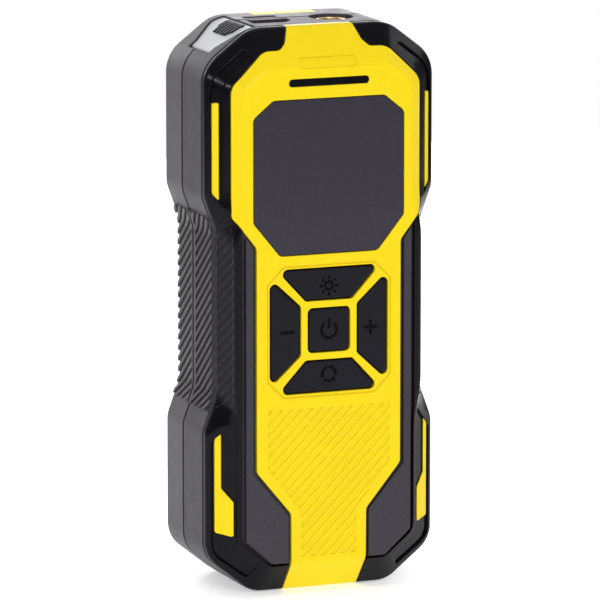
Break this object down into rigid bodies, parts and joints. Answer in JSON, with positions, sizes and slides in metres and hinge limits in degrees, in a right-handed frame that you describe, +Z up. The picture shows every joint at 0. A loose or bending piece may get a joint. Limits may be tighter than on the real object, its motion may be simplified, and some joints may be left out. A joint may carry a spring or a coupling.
{
  "type": "inspection camera handset",
  "caption": "Handheld display unit for an inspection camera: yellow front with a flush screen and key pad, waisted grey grip sides, black corner bumpers and a brass lead socket on top.",
  "frame": {"origin": "middle of the flat bottom end that the handset stands on", "axes": "+Z up along the handset, +X to the right seen from the screen side, +Y to the back, screen faces -Y"},
  "size_m": [0.08, 0.048, 0.1868],
  "materials": {
    "case_plastic": "soft-touch moulded dark grey",
    "panel_plastic": "satin moulded yellow",
    "bumper_plastic": "gloss black",
    "flap_plastic": "satin light grey",
    "key_rubber": "satin black",
    "seal_rubber": "matt black",
    "window": "smoked flat window",
    "brass": "turned",
    "steel": "plated",
    "board": "solder mask",
    "inner_plastic": "moulded black",
    "display": "dark panel",
    "cell_sleeve": "printed-free sleeve",
    "ribbon": "amber film"
  },
  "bodies": {
    "handset": {"front_shell": "case_plastic", "rear_shell": "case_plastic", "front_panel": "panel_plastic", "name_plate": "bumper_plastic", "rear_panel": "panel_plastic", "left_bumper": "bumper_plastic", "right_bumper": "bumper_plastic", "left_upper_accent": "panel_plastic", "left_lower_accent": "panel_plastic", "right_upper_accent": "panel_plastic", "right_lower_accent": "panel_plastic", "display_window": "window", "display_gasket": "seal_rubber", "lcd_module": "display", "lcd_holder": "inner_plastic", "main_board": "board", "tact_switches": "steel", "port_board": "board", "data_port": "inner_plastic", "card_slot": "inner_plastic", "video_jack": "inner_plastic", "ribbon_cable": "ribbon", "camera_socket": "brass", "socket_seal": "seal_rubber", "socket_insulator": "inner_plastic", "socket_contact": "brass", "socket_washer": "steel", "socket_nut": "brass", "flap_hinge_pin": "steel", "battery_door_pin": "steel", "battery_door_seal": "seal_rubber", "battery_cells": "cell_sleeve", "battery_springs": "steel", "battery_contacts": "steel", "case_seal": "seal_rubber", "case_screws": "steel", "board_screws": "steel"},
    "power_key": {"power_button": "key_rubber"},
    "light_key": {"light_button": "key_rubber"},
    "minus_key": {"minus_button": "key_rubber"},
    "plus_key": {"plus_button": "key_rubber"},
    "rotate_key": {"rotate_button": "key_rubber"},
    "flap": {"port_flap": "flap_plastic", "flap_grip_pad": "key_rubber"},
    "door": {"battery_door": "case_plastic"},
    "latch": {"battery_door_latch": "flap_plastic"}
  },
  "joints": [
    {"name": "power_key_press", "type": "slide", "parent": "handset", "child": "power_key", "axis": [0, 1, 0], "range_m": [0, 0.0008], "stiffness_N_per_m": 2500},
    {"name": "light_key_press", "type": "slide", "parent": "handset", "child": "light_key", "axis": [0, 1, 0], "range_m": [0, 0.0008], "stiffness_N_per_m": 2500},
    {"name": "minus_key_press", "type": "slide", "parent": "handset", "child": "minus_key", "axis": [0, 1, 0], "range_m": [0, 0.0008], "stiffness_N_per_m": 2500},
    {"name": "plus_key_press", "type": "slide", "parent": "handset", "child": "plus_key", "axis": [0, 1, 0], "range_m": [0, 0.0008], "stiffness_N_per_m": 2500},
    {"name": "rotate_key_press", "type": "slide", "parent": "handset", "child": "rotate_key", "axis": [0, 1, 0], "range_m": [0, 0.0008], "stiffness_N_per_m": 2500},
    {"name": "flap_hinge", "type": "hinge", "parent": "handset", "child": "flap", "pos_m": [-0.0329, 0.0023, 0.17772], "axis": [0, -1, 0], "range_deg": [0, 80]},
    {"name": "door_hinge", "type": "hinge", "parent": "handset", "child": "door", "pos_m": [0, 0.0215, 0.0125], "axis": [-1, 0, 0], "range_deg": [0, 90]},
    {"name": "latch_slide", "type": "slide", "parent": "door", "child": "latch", "axis": [0, 0, -1], "range_m": [0, 0.0025], "stiffness_N_per_m": 400}
  ]
}
